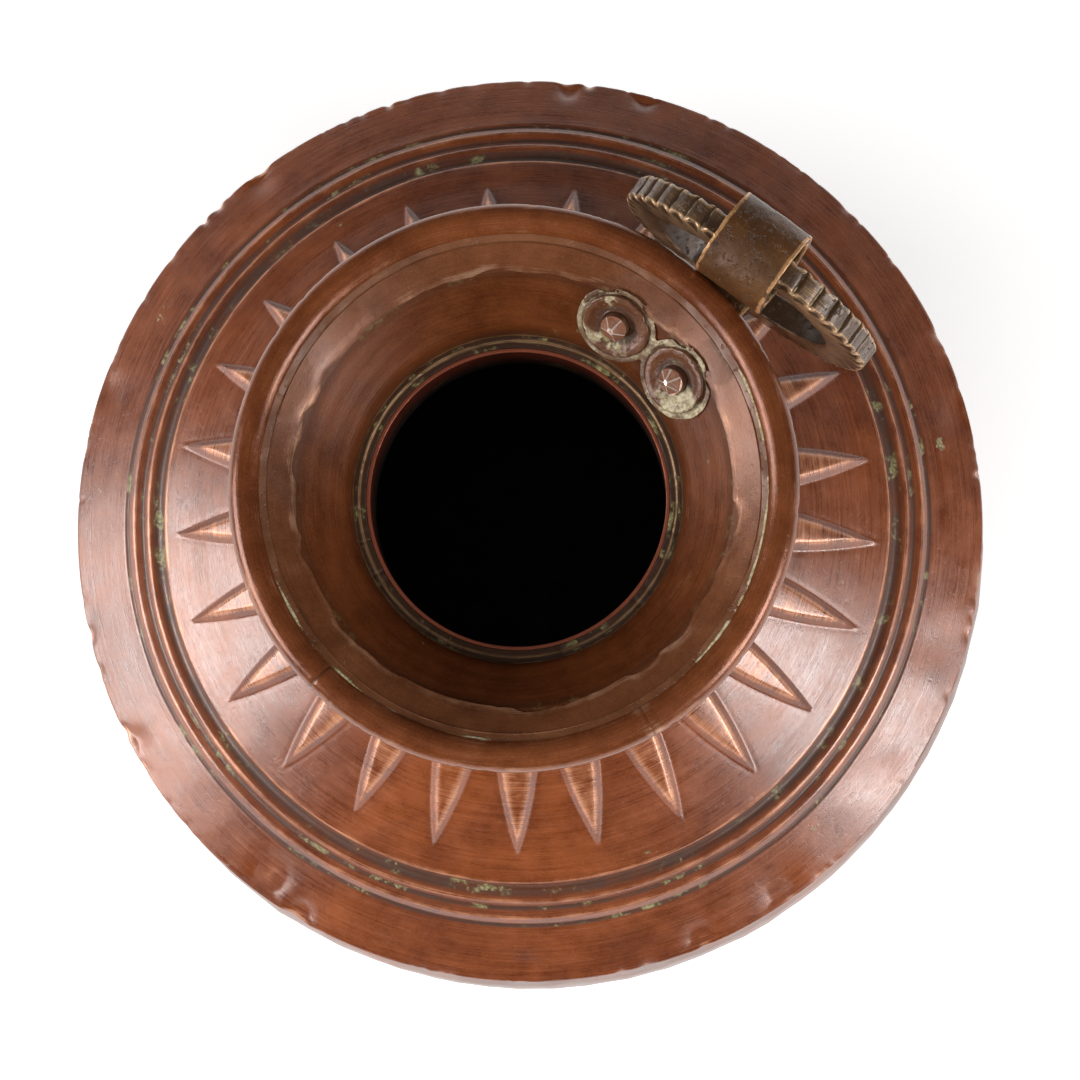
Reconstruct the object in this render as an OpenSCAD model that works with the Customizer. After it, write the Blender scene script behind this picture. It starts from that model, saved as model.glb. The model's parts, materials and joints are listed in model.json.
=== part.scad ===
// Hammered copper water vessel: a bellied body under a conical shoulder, a flared mouth with a
// wired rim, and a drop ring that hangs in a barrel lug riveted to the mouth.
// The origin is on the table under the middle of the base, +Z is up and the lug is on +X.

/* [Body] */
// Radius of the folded seam between the shoulder and the lower body
seam_r = 150; // [135:1:175]
// Height of the seam above the table
seam_h = 215; // [180:1:260]
// How far the belly stands out past the seam
belly_out = 3.5; // [2:0.5:6]
// How far the widest part of the belly lies below the seam
belly_drop = 38; // [25:1:60]
// Outside radius of the lower body at the base plate
base_r = 105; // [80:1:125]
// Thickness of the copper sheet
sheet_t = 1.4; // [1:0.1:2]
// Thickness of the base plate
base_t = 1.8; // [1.2:0.1:3]
// Height of the turned-up edge of the base plate
base_edge_h = 11; // [6:1:14]
// Width of the folded seam
seam_w = 4; // [3:0.5:8]
// Size of the solder fillets inside the seams
fillet = 4; // [2:0.5:6]

/* [Shoulder] */
// Slope of the shoulder
shoulder_slope = 34.07; // [28:0.01:38]
// Number of raised ridges round the shoulder
ridge_count = 2; // [1:1:3]
// Radius of the outermost groove
ridge_out_r = 131; // [128:0.5:135]
// Distance from ridge to ridge
ridge_pitch = 5.5; // [3:0.1:5.5]
// Height of the ridges
ridge_h = 1.1; // [0.5:0.1:2]
// Number of pointed flutes round the shoulder
flute_count = 25; // [12:1:28]
// Direction of the first flute
flute_start = 9.2; // [0:0.1:14.4]
// Radius of the flutes' points
flute_tip_r = 112; // [100:1:115]
// Radius where the flutes are widest
flute_wide_r = 74; // [70:1:80]
// Radius of the flutes' inner ends
flute_root_r = 60; // [57:1:66]
// Width of a flute where it is widest
flute_w = 14.5; // [8:0.5:16]
// Height of the flutes
flute_h = 2.4; // [1:0.1:4]

/* [Mouth] */
// Inside radius of the neck
bore_r = 45.5; // [38:0.5:47]
// Inside radius of the mouth's stub, round the neck
stub_r = 51; // [50:0.5:54]
// Height of the neck's lip above the shoulder's top
lip_rise = 16.7; // [12:0.1:18]
// Length of the neck sleeve
sleeve_l = 25; // [20:1:30]
// Height of each step of the neck's lip
lip_step = 0.9; // [0.5:0.1:1.5]
// Depth of the neck's lip ring
lip_h = 9; // [6:1:12]
// Height above the shoulder's top where the mouth starts to flare
flare_rise = 22; // [20:0.5:26]
// Radius of the bend where the mouth starts to flare
flare_bend = 10; // [6:1:12]
// Slope of the mouth's wall
mouth_slope = 52; // [48:1:56]
// Slope of the mouth's flange
flange_slope = 33; // [25:1:38]
// Width of the flange, from the wall to the rolled edge
flange_w = 10.6; // [10:0.1:12]
// Outside radius of the rim
rim_r = 85.8; // [85:0.1:92]
// Radius of the wire in the rim
wire_r = 2.6; // [2:0.1:3]
// Thickness of the rim moulding
moulding_t = 1.2; // [0.8:0.1:1.6]
// Width of the collar strip on the flange
collar_w = 8.6; // [6:0.1:9]
// Thickness of the collar strip
collar_t = 1.3; // [0.8:0.1:1.5]

/* [Rivets] */
// Distance of the rivets from the edge between the mouth's wall and its flange
rivet_in = 5.5; // [5:0.1:6]
// Distance between the two rivets
rivet_gap = 25; // [24:0.1:25.5]
// Direction of the middle of the rivet pair
rivet_turn = 3; // [0:0.1:6]
// Slope of the seats that the rivets stand square to
rivet_slope = 43; // [42:0.5:48]
// Radius of the rivets' shanks
shank_r = 4.25; // [3:0.05:4.5]
// How far the shanks stand out of the washers
shank_out = 5; // [3:0.5:6]
// Height of the faceted points of the shanks
point_h = 2.4; // [1:0.1:3]
// Radius of the rivets' heads
head_r = 6; // [5.5:0.1:6.2]
// Height of the rivets' heads
head_h = 2.6; // [1.5:0.1:3]
// Radius of the washers
washer_r = 11; // [10.7:0.1:11.2]
// Thickness of the washers
washer_t = 1.5; // [1:0.1:2]
// How far the washers are dished
washer_dish = 1.2; // [1.2:0.1:2]

/* [Handle] */
// Distance of the eye's middle outside the middle of the rim's wire
eye_reach = 19; // [18.4:0.1:25]
// Height of the eye's middle above the middle of the rim's wire
eye_lift = 8.3; // [7:0.1:14]
// Inside radius of the eye
eye_r = 10.3; // [10:0.1:12]
// Thickness of the strap that the lug is rolled from
strap_t = 4; // [3:0.1:5]
// Width of the eye
strap_w = 24; // [18:0.5:26]
// Width of the strap where it passes under the rim
stem_w = 20; // [14:0.5:21]
// Turn of the eye about the vertical
eye_turn = 10; // [0:1:12]
// Thickness of the lug's foot plate
foot_t = 4.5; // [4:0.1:5]
// Angle that the foot plate covers round the mouth
foot_angle = 46; // [42:1:60]
// Inside radius of the drop ring
ring_in_r = 30.9; // [26:0.1:34]
// Depth of the ring's section, from the hole to the outside
ring_depth = 14.3; // [10:0.1:15]
// Width of the ring's section
ring_w = 9; // [6:0.1:10]
// Number of grooves across the ring's outer face
rib_count = 40; // [20:1:48]
// Depth of those grooves
rib_depth = 0.7; // [0.3:0.1:1.2]
// Width of the gap where the ring's ends meet
split_gap = 5; // [2:0.5:8]
// Direction of that gap, from the bottom of the ring
split_turn = 36; // [20:1:60]

/* [Clearances] */
// Gap between the ring and the eye that it hangs in
hang_gap = 0.3; // [0.3:0.05:0.6]
// Gap between the eye and the rim beside it
lug_gap = 0.15; // [0.1:0.05:0.3]
// Height of a washer's seat above the mouth's wall, where the rivet goes through it
seat_gap = 0.8; // [0.8:0.05:1.2]
// Gap between a washer and the collar that is trimmed round it
trim_gap = 0.3; // [0.2:0.05:0.6]

/* [Hidden] */
$fn = 96;

copper = "#8c4a30";
dark_copper = "#6e3a26";
bronze = "#7a6040";
tin = "#b8b48c";
iron = "#55524e";

// Shoulder: lines parallel to its slope, counted in sheets below its outer face
stub_out_r = stub_r + sheet_t;
sheet_v = sheet_t / cos(shoulder_slope);
fold_r = seam_r - sheet_t;
throat_r = seam_r - seam_w;
function under(r, sheets) = seam_h + (seam_r - r) * tan(shoulder_slope) - sheets * sheet_v;
shoulder_top = under(stub_out_r, 0);

// Ridges: each one is half a sine wave, drawn with this many steps
ridge_steps = 8;
ridge_line = [for (i = [0 : ridge_count * ridge_steps])
    ridge_out_r - i * ridge_pitch / ridge_steps];
function ridge_lift(r) = ridge_h * abs(sin(180 * (ridge_out_r - r) / ridge_pitch));

// Flutes: a low second peak near the point, and an edge sunk in the sheet, which it leaves cleanly
flute_peak_in = 9;
flute_peak_share = 0.7;
flute_peak_r = flute_tip_r - flute_peak_in;
flute_peak_h = flute_peak_share * flute_h;
flute_sink = sheet_t / 3;
function sunk_past(edge, peak, lift) = peak + (edge - peak) * (lift + flute_sink) / lift;
function on_shoulder(r, side, lift) =
    [r + lift * sin(shoulder_slope), side,
     under(norm([r, side]), 0) + lift * cos(shoulder_slope)];

// Lower body: its outside radius at each height
belly_r = seam_r + belly_out;
belly_z = seam_h - belly_drop;
throat_z = under(throat_r, 3);
body_steps = 12;
throat_steps = 6;
body_z = concat(
    [for (i = [0 : body_steps]) base_t + (belly_z - base_t) * i / body_steps],
    [for (i = [1 : throat_steps]) belly_z + (throat_z - belly_z) * i / throat_steps]);
function body_r(z) = z <= belly_z
    ? base_r + (belly_r - base_r) * sin(90 * (z - base_t) / (belly_z - base_t))
    : throat_r + (belly_r - throat_r) * cos(90 * (z - belly_z) / (throat_z - belly_z));
foot_lean = (body_r(body_z[1]) - base_r) / (body_z[1] - base_t);

// Mouth: a line at each depth behind its inside face, from the stub up to the rolled edge
stub_bottom = under(stub_out_r, 1) - fillet;
flare_z = shoulder_top + flare_rise;
lip_z = shoulder_top + lip_rise;
bend_turn = 90 - mouth_slope;
bend_steps = 5;
cone_r = stub_r + flare_bend * (1 - cos(bend_turn));
cone_z = flare_z + flare_bend * sin(bend_turn);
bead_r = wire_r + sheet_t + moulding_t;
roll_r = wire_r + sheet_t;
bead_x = rim_r - bead_r;
knee_r = bead_x - roll_r - flange_w;
knee_z = cone_z + (knee_r - cone_r) * tan(mouth_slope);
roll_lift = 1.2;   // height of the flange's face over the roll's middle, at the roll's edge
tuck = 1;          // how far the flange runs on into the rolled edge
collar_in = 0.2;   // how far the collar stands back from the edge of the wall
flange_end_r = bead_x - roll_r + tuck;
bead_z = flange_z(bead_x - roll_r) - roll_lift;
function flange_z(r) = knee_z + (r - knee_r) * tan(flange_slope);
function on_cone(r, depth) = [r + depth * sin(mouth_slope),
    cone_z + (r - cone_r) * tan(mouth_slope) - depth * cos(mouth_slope)];
function on_flange(r, depth) =
    [r + depth * sin(flange_slope), flange_z(r) - depth * cos(flange_slope)];
mean_slope = (mouth_slope + flange_slope) / 2;
function at_knee(depth) = let (reach = depth / cos((mouth_slope - flange_slope) / 2))
    [knee_r + reach * sin(mean_slope), knee_z - reach * cos(mean_slope)];
function wall_line(depth) = concat(
    [[stub_r + depth, stub_bottom]],
    [for (i = [0 : bend_steps]) let (a = bend_turn * i / bend_steps)
        [stub_r + flare_bend - (flare_bend - depth) * cos(a),
         flare_z + (flare_bend - depth) * sin(a)]],
    [at_knee(depth), on_flange(flange_end_r, depth)]);
function reversed(points) = [for (i = [len(points) - 1 : -1 : 0]) points[i]];

// Rivets: the pair stands a little more upright than the mouth's wall
rivet_r = knee_r - rivet_in;
rivet_half_turn = asin(rivet_gap / 2 / rivet_r);
rivet_z = on_cone(rivet_r, 0)[1];
washer_top = seat_gap + washer_t;
flat_r = shank_r + 1.4;      // the washers are flat out to here
pad_r = washer_r + 2;        // the solder round the washers reaches this far
pad_h = 2.6;
point_in = 0.2;              // the faceted points start this deep in the shanks
seat_depth = sheet_t + foot_t - head_r * tan(mouth_slope - rivet_slope);

// Handle: the ring hangs on the bottom edges of the eye's two ends
eye_x = bead_x + eye_reach;
eye_z = bead_z + eye_lift;
eye_out_r = eye_r + strap_t;
ring_r = ring_in_r + ring_depth;
ring_drop = sqrt(pow(ring_in_r, 2) - pow(strap_w / 2, 2))
    + sqrt(pow(eye_r, 2) - pow(ring_w / 2, 2)) - hang_gap;
ring_bevel = 1;
stem_z = bead_z - bead_r - lug_gap;
stem_foot_r = knee_r - 1.5;  // where the stem leaves the foot plate
stem_lean = 38;              // direction, from below the eye, in which the stem meets it

module torus(r, x, z) {
    rotate_extrude() translate([x, z]) circle(r, $fn = 48);
}

module band(inner, outer) {
    rotate_extrude() polygon(concat(inner, reversed(outer)));
}

module base_plate() {
    edge_r = base_r + foot_lean * (base_edge_h - base_t);
    color(dark_copper) rotate_extrude() polygon([
        [0, 0], [base_r + sheet_t, 0], [edge_r + sheet_t, base_edge_h],
        [edge_r, base_edge_h], [base_r, base_t], [0, base_t]]);
}

module lower_body() {
    outside = [for (z = body_z) [body_r(z), z]];
    inside = [for (z = body_z) [body_r(z) - sheet_t, z]];
    flange = [[throat_r, under(throat_r, 2)], [fold_r, under(fold_r, 2)],
        [fold_r, under(fold_r, 1)], [throat_r - sheet_t, under(throat_r - sheet_t, 1)]];
    color(copper) rotate_extrude() polygon(concat(outside, flange, reversed(inside)));
}

module flute() {
    tip = sunk_past(flute_tip_r, flute_peak_r, flute_peak_h);
    root = sunk_past(flute_root_r, flute_wide_r, flute_h);
    wide = sunk_past(flute_w / 2, 0, flute_h);
    outline = [[tip, 0], [root, 0], [flute_wide_r, wide], [flute_wide_r, -wide]];
    polyhedron(
        points = concat(
            [on_shoulder(flute_peak_r, 0, flute_peak_h), on_shoulder(flute_wide_r, 0, flute_h)],
            [for (depth = [1, 2], p = outline) on_shoulder(p[0], p[1], -depth * flute_sink)]),
        faces = [
            [2, 0, 4], [0, 1, 4], [1, 3, 4], [0, 2, 5], [1, 0, 5], [3, 1, 5],
            [2, 4, 8], [2, 8, 6], [4, 3, 7], [4, 7, 8],
            [3, 5, 9], [3, 9, 7], [5, 2, 6], [5, 6, 9],
            [6, 8, 7], [6, 7, 9]]);
}

module shoulder() {
    fold = [[seam_r, under(seam_r, 0)], [seam_r, under(seam_r, 3)],
        [throat_r, under(throat_r, 3)], [throat_r, under(throat_r, 2)],
        [fold_r, under(fold_r, 2)], [fold_r, under(fold_r, 1)]];
    top = [for (r = reversed(ridge_line)) [r, under(r, 0) + ridge_lift(r)]];
    underside = [for (r = ridge_line) [r, under(r, 1) + ridge_lift(r)]];
    color(copper) {
        rotate_extrude() polygon(concat([[stub_out_r, under(stub_out_r, 0)]], top, fold,
            underside, [[stub_out_r, under(stub_out_r, 1)]]));
        for (i = [0 : flute_count - 1])
            rotate([0, 0, flute_start + i * 360 / flute_count]) flute();
    }
}

module neck_sleeve() {
    color(dark_copper) translate([0, 0, lip_z - sleeve_l]) difference() {
        cylinder(r = bore_r + sheet_t, h = sleeve_l);
        translate([0, 0, -1]) cylinder(r = bore_r, h = sleeve_l + 2);
    }
}

module neck_lip() {
    inner_r = bore_r + sheet_t;
    step_r = (inner_r + stub_r) / 2;
    color(dark_copper) rotate_extrude() polygon([
        [inner_r, lip_z - lip_h], [stub_r, lip_z - lip_h], [stub_r, lip_z + 2 * lip_step],
        [step_r, lip_z + 2 * lip_step], [step_r, lip_z + lip_step],
        [inner_r, lip_z + lip_step]]);
}

module mouth_funnel() {
    color(copper) difference() {
        union() {
            band(wall_line(0), wall_line(sheet_t));
            torus(roll_r, bead_x, bead_z);
        }
        torus(wire_r, bead_x, bead_z);
        for (side = [-1, 1]) at_rivet(side) rivet_hole();
    }
}

// The collar's room: from its face down to the given depth in the flange
module collar_strip(depth) {
    start_r = knee_r + collar_in;
    end_r = knee_r + collar_w;
    difference() {
        band([on_flange(start_r, -collar_t), on_flange(end_r, -collar_t)],
            [on_flange(start_r, depth), on_flange(end_r, depth)]);
        for (side = [-1, 1]) at_rivet(side) cylinder(r = washer_r + trim_gap, h = 4 * foot_t);
    }
}

module rim_collar() {
    color(copper) collar_strip(0);
}

module rim_moulding() {
    open_from = 157;
    open_to = 206;
    reach = 3 * bead_r;
    color(copper) difference() {
        torus(bead_r, bead_x, bead_z);
        torus(roll_r, bead_x, bead_z);
        rotate_extrude() translate([bead_x, bead_z]) polygon(concat([[0, 0]],
            [for (a = [open_from, 180, open_to]) reach * [cos(a), sin(a)]]));
    }
}

module rim_wire() {
    color(iron) torus(wire_r, bead_x, bead_z);
}

module rim_solder() {
    end_r = knee_r + collar_w;
    touch = 30;
    color(tin) difference() {
        rotate_extrude() polygon([on_flange(end_r, 0), on_flange(flange_end_r, 0),
            [bead_x - bead_r * cos(touch) + tuck, bead_z + bead_r * sin(touch)],
            on_flange(end_r, -collar_t)]);
        torus(bead_r, bead_x, bead_z);
    }
}

module base_solder() {
    inner_r = base_r - sheet_t;
    color(tin) rotate_extrude() polygon([[inner_r - fillet, base_t], [inner_r, base_t],
        [inner_r + foot_lean * fillet, base_t + fillet]]);
}

module shoulder_solder() {
    wall_r = throat_r - sheet_t;
    color(tin) rotate_extrude() polygon([[wall_r - fillet, under(wall_r - fillet, 1)],
        [wall_r, under(wall_r, 1)], [wall_r, under(wall_r, 3)]]);
}

module neck_solder() {
    color(tin) rotate_extrude() polygon([[stub_out_r, under(stub_out_r, 1)],
        [stub_out_r + fillet, under(stub_out_r + fillet, 1)], [stub_out_r, stub_bottom]]);
}

module at_rivet(side) {
    rotate([0, 0, rivet_turn + side * rivet_half_turn]) translate([rivet_r, 0, rivet_z])
        rotate([0, -rivet_slope, 0]) children();
}

module rivet_hole() {
    translate([0, 0, -4 * foot_t]) cylinder(r = shank_r, h = 8 * foot_t);
}

module rivet() {
    shank_top = washer_top + shank_out - point_h;
    color(copper) {
        rotate_extrude() polygon([[0, -seat_depth - head_h], [head_r - head_h, -seat_depth - head_h],
            [head_r, -seat_depth], [shank_r, -seat_depth], [shank_r, shank_top], [0, shank_top]]);
        translate([0, 0, shank_top - point_in])
            cylinder(r1 = shank_r - point_in, r2 = shank_r / 4, h = point_h + point_in, $fn = 6);
    }
}

// A dished disc: flat round the shank, then rising to its edge
module washer(side) {
    color(dark_copper) at_rivet(side) rotate_extrude() polygon([
        [shank_r, seat_gap], [flat_r, seat_gap], [washer_r, seat_gap + washer_dish],
        [washer_r, seat_gap + washer_dish + washer_t], [flat_r, washer_top], [shank_r, washer_top]]);
}

// The room that a rivet and its washer take, from the foot plate up past the solder
module washer_room() {
    rotate_extrude() polygon([[0, -4 * foot_t], [shank_r, -4 * foot_t], [shank_r, seat_gap],
        [flat_r, seat_gap], [washer_r, seat_gap + washer_dish], [washer_r, 2 * pad_h],
        [0, 2 * pad_h]]);
}

module washer_solder() {
    color(tin) difference() {
        intersection() {
            for (side = [-1, 1]) at_rivet(side) cylinder(r = pad_r, h = pad_h);
            rotate_extrude($fn = 240) polygon(concat(wall_line(0),
                [[0, flange_z(flange_end_r)], [0, stub_bottom]]));
        }
        for (side = [-1, 1]) at_rivet(side) washer_room();
        collar_strip(sheet_t / 2);
    }
}

module stem() {
    mid_r = eye_r + strap_t / 2;
    translate([0, stem_w / 2, 0]) rotate([90, 0, 0]) linear_extrude(stem_w) polygon([
        [knee_r, knee_z], [bead_x, stem_z], [rim_r, stem_z + sheet_t],
        [eye_x - mid_r * sin(stem_lean), eye_z - mid_r * cos(stem_lean)], [eye_x, eye_z - eye_out_r],
        [rim_r + strap_t / 2, stem_z - strap_t / 2], [bead_x, stem_z - strap_t],
        on_cone(stem_foot_r, sheet_t + foot_t), on_cone(stem_foot_r, 0)]);
}

module at_eye() {
    translate([eye_x, 0, eye_z]) rotate([0, 0, eye_turn]) children();
}

module across(r, l) {
    rotate([90, 0, 0]) translate([0, 0, -l / 2]) cylinder(r = r, h = l);
}

module handle_lug() {
    color(bronze) difference() {
        union() {
            at_eye() across(eye_out_r, strap_w);
            stem();
            rotate([0, 0, rivet_turn - foot_angle / 2]) rotate_extrude(angle = foot_angle)
                polygon([on_cone(cone_r, sheet_t), at_knee(sheet_t), at_knee(sheet_t + foot_t),
                    on_cone(cone_r, sheet_t + foot_t)]);
        }
        at_eye() across(eye_r, 2 * strap_w);
        rotate_extrude() polygon(concat(wall_line(sheet_t), [[0, flange_z(flange_end_r)],
            [0, stub_bottom]]));
        torus(bead_r + lug_gap, bead_x, bead_z);
        for (side = [-1, 1]) at_rivet(side) {
            rivet_hole();
            translate([0, 0, -seat_depth - 2 * head_h])
                cylinder(r = head_r + trim_gap, h = 2 * head_h);
        }
    }
}

module handle_ring() {
    rib_w = rib_depth * sqrt(2);
    color(bronze) at_eye() translate([0, 0, -ring_drop]) rotate([0, 90, 0]) difference() {
        rotate_extrude() polygon([
            [ring_in_r, -ring_w / 2], [ring_r - ring_bevel, -ring_w / 2],
            [ring_r, ring_bevel - ring_w / 2], [ring_r, ring_w / 2 - ring_bevel],
            [ring_r - ring_bevel, ring_w / 2], [ring_in_r, ring_w / 2]]);
        for (i = [0 : rib_count - 1]) rotate([0, 0, (i + 0.5) * 360 / rib_count])
            translate([ring_r, 0, 0]) rotate([0, 0, 45])
                cube([rib_w, rib_w, 2 * ring_w], center = true);
        rotate([0, 0, split_turn]) translate([ring_r, 0, 0])
            cube([4 * ring_depth, split_gap, 2 * ring_w], center = true);
    }
}

base_plate();
lower_body();
shoulder();
neck_sleeve();
neck_lip();
mouth_funnel();
rim_collar();
rim_moulding();
rim_wire();
base_solder();
shoulder_solder();
neck_solder();
rim_solder();
washer_solder();
washer(1);  // washer_left
washer(-1);  // washer_right
at_rivet(1) rivet();  // rivet_left
at_rivet(-1) rivet();  // rivet_right
handle_lug();
handle_ring();
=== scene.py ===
import itertools
import json
import math

import bmesh
import bpy
import numpy as np
from mathutils import Matrix, Vector


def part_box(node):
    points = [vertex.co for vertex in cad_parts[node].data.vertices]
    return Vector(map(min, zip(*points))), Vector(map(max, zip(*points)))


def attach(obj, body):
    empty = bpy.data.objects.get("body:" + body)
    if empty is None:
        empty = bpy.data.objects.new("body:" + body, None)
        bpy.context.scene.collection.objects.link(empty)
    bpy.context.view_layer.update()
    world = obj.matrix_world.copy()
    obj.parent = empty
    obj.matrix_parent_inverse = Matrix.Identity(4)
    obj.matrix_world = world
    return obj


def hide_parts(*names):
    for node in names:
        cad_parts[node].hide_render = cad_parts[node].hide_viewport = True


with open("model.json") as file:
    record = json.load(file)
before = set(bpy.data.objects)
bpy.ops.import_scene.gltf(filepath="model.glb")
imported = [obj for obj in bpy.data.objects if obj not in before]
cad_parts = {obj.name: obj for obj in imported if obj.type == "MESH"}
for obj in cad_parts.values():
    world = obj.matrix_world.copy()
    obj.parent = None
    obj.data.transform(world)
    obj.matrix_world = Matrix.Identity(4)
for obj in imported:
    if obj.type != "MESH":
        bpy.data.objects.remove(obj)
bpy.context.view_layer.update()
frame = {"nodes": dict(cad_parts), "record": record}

MM = 0.001
TURN = 2 * math.pi

# ---- sizes, in metres
SHEET = 1.4 * MM
SEAM_Z = 215 * MM                      # height of the shoulder's outer edge
seam_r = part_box("shoulder")[1].x
stub_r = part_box("neck_lip")[1].x
stub_out_r = stub_r + SHEET
SHOULDER_SLOPE = math.atan2(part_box("shoulder")[1].z - SEAM_Z, seam_r - stub_out_r)
SEAM_W = 4 * MM
throat_r = seam_r - SEAM_W
fold_r = seam_r - SHEET

base_edge_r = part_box("base_plate")[1].x
base_edge_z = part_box("base_plate")[1].z
BASE_R = 105 * MM
base_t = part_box("lower_body")[0].z
belly_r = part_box("lower_body")[1].x
BELLY_DROP = 38 * MM

sleeve_out_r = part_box("neck_sleeve")[1].x
bore_r = sleeve_out_r - SHEET
lip_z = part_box("neck_sleeve")[1].z

wire_low, wire_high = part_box("rim_wire")
wire_r = (wire_high.z - wire_low.z) / 2
bead_x = wire_high.x - wire_r
bead_z = (wire_high.z + wire_low.z) / 2
roll_r = wire_r + SHEET
rim_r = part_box("rim_moulding")[1].x
bead_r = rim_r - bead_x
MOUTH_SLOPE = math.radians(52)
FLANGE_SLOPE = math.radians(33)
FLANGE_W = 10.6 * MM
FLARE_Z = SEAM_Z + 88 * MM
FLARE_BEND = 10 * MM
COLLAR_W = 8.6 * MM
COLLAR_T = 1.3 * MM
bend_turn = math.pi / 2 - MOUTH_SLOPE
cone_r = stub_r + FLARE_BEND * (1 - math.cos(bend_turn))
cone_z = FLARE_Z + FLARE_BEND * math.sin(bend_turn)
knee_r = bead_x - roll_r - FLANGE_W
knee_z = cone_z + (knee_r - cone_r) * math.tan(MOUTH_SLOPE)
STUB_BOTTOM_DROP = 4 * MM

RIVET_R = 60.5 * MM
RIVET_GAP = 25 * MM
RIVET_TURN = math.radians(3)
RIVET_SLOPE = math.radians(43)
SHANK_R = 4.25 * MM
SHANK_OUT = 5 * MM                     # how far a shank stands out of its washer
POINT_H = 2.4 * MM
HEAD_R = 6 * MM
HEAD_H = 2.6 * MM
FOOT_T = 4.5 * MM                      # the lug's foot plate, behind the mouth's wall
WASHER_R = 11 * MM
WASHER_T = 1.5 * MM
WASHER_DISH = 1.2 * MM
WASHER_FLAT = SHANK_R + 1.4 * MM       # the washers are flat out to here
SEAT_GAP = 0.8 * MM
TRIM_GAP = 0.3 * MM
WASHERS_WITHIN = 26                    # degrees on each side of the lug

RING_IN_R = 30.9 * MM
RING_DEPTH = 14.3 * MM
RING_W = 9 * MM
ring_r = RING_IN_R + RING_DEPTH
EYE_TURN = math.radians(10)
SPLIT_TURN = math.radians(36)
SPLIT_GAP = 5 * MM
RIBS = 40
hinge = next(j for j in frame["record"]["behaviour"]["joints"] if j["name"] == "ring_swing")


# ---- random surfaces
def lattice(cell, seed):
    """A random number from 0 to 1 for each whole-number point."""
    mixed = cell[..., 0] * 374761393 + cell[..., 1] * 668265263 + cell[..., 2] * 1274126177
    mixed = (mixed + seed * 974634777) & 0xFFFFFFFF
    mixed = ((mixed ^ (mixed >> 13)) * 1103515245) & 0xFFFFFFFF
    mixed = ((mixed ^ (mixed >> 16)) * 69069) & 0xFFFFFFFF
    return ((mixed ^ (mixed >> 15)) & 0xFFFFFF) / 0xFFFFFF


def waves(points, size, seed):
    """Smooth noise from -1 to 1 with features of about that size."""
    scaled = points / size
    cell = np.floor(scaled).astype(np.int64)
    part = scaled - cell
    part = part * part * (3 - 2 * part)
    total = np.zeros(points.shape[:-1])
    for corner in itertools.product((0, 1), repeat=3):
        weight = np.prod(np.where(np.array(corner) == 1, part, 1 - part), axis=-1)
        total += weight * lattice(cell + np.array(corner), seed)
    return 2 * total - 1


def strikes(points, size, seed):
    """Hammer marks: (0 at a mark's middle to 1 at its edge, how near the ridge between two marks)."""
    scaled = points / size
    cell = np.floor(scaled).astype(np.int64)
    first = np.full(points.shape[:-1], 9.0)
    second = first.copy()
    for step in itertools.product((-1, 0, 1), repeat=3):
        near = cell + np.array(step)
        place = near + np.stack([lattice(near, seed + k) for k in range(3)], -1) * 0.8
        gap = np.linalg.norm(place - scaled, axis=-1)
        second = np.minimum(second, np.maximum(first, gap))
        first = np.minimum(first, gap)
    return np.clip(first, 0, 1), np.clip(1 - (second - first) / 0.16, 0, 1)


def bump_at(gap, width):
    """1 at no distance, falling smoothly to nothing at about twice the width."""
    return np.exp(-(gap / width) ** 2)


def fade(value, start, end):
    """0 before start, 1 after end, and smooth between."""
    part = np.clip((value - start) / (end - start), 0, 1)
    return part * part * (3 - 2 * part)


# ---- mesh building
def outline(corners, rounding=0.4 * MM, step=1.5 * MM):
    """A closed outline through those corners, each rounded, with a point about every step."""
    corners = [np.array(c, float) for c in corners]
    line = []
    for i, corner in enumerate(corners):
        before, after = corners[i - 1], corners[(i + 1) % len(corners)]
        reach = min(rounding, 0.45 * np.linalg.norm(before - corner), 0.45 * np.linalg.norm(after - corner))
        start = corner + (before - corner) * reach / np.linalg.norm(before - corner)
        end = corner + (after - corner) * reach / np.linalg.norm(after - corner)
        line += [(1 - t) ** 2 * start + 2 * t * (1 - t) * corner + t * t * end for t in (0, 1 / 3, 2 / 3, 1)]
    full = []
    for i, point in enumerate(line):
        after = line[(i + 1) % len(line)]
        count = max(1, int(round(np.linalg.norm(after - point) / step)))
        full += [point + (after - point) * k / count for k in range(count)]
    return np.array(full)


def polar(r, turn, z=0.0):
    """Points at a radius, a direction in radians and a height."""
    return np.stack(np.broadcast_arrays(r * np.cos(turn), r * np.sin(turn), z), -1)


def spin(line, cols, start=0.0):
    """The outline's points turned round the vertical: a grid of rows by columns."""
    turn = start + np.arange(cols) * TURN / cols
    return polar(line[:, 0][:, None], turn, line[:, 1][:, None])


def facing(grid):
    """The outward direction at each point of a grid spun from a counterclockwise outline."""
    along = np.roll(grid, -1, 0) - np.roll(grid, 1, 0)
    across = np.roll(grid, -1, 1) - np.roll(grid, 1, 1)
    out = np.cross(across, along)
    return out / np.maximum(np.linalg.norm(out, axis=-1, keepdims=True), 1e-12)


def radius_of(grid):
    return np.hypot(grid[..., 0], grid[..., 1])


def turn_of(grid):
    return np.degrees(np.arctan2(grid[..., 1], grid[..., 0])) % 360


def turn_gap(turns, middle):
    """Degrees between two directions, always the short way."""
    return np.abs((turns - middle + 180) % 360 - 180)


def placed(name, data):
    """A new object, put into the scene."""
    thing = bpy.data.objects.new(name, data)
    bpy.context.scene.collection.objects.link(thing)
    return thing


def set_marks(mesh, marks, shape):
    """Writes the marks, point attributes that the material reads."""
    for mark, values in marks.items():
        layer = mesh.attributes.new(mark, "FLOAT", "POINT")
        spread = np.broadcast_to(np.clip(values, 0, 1), shape)
        layer.data.foreach_set("value", spread.astype(np.float32).ravel())


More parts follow.
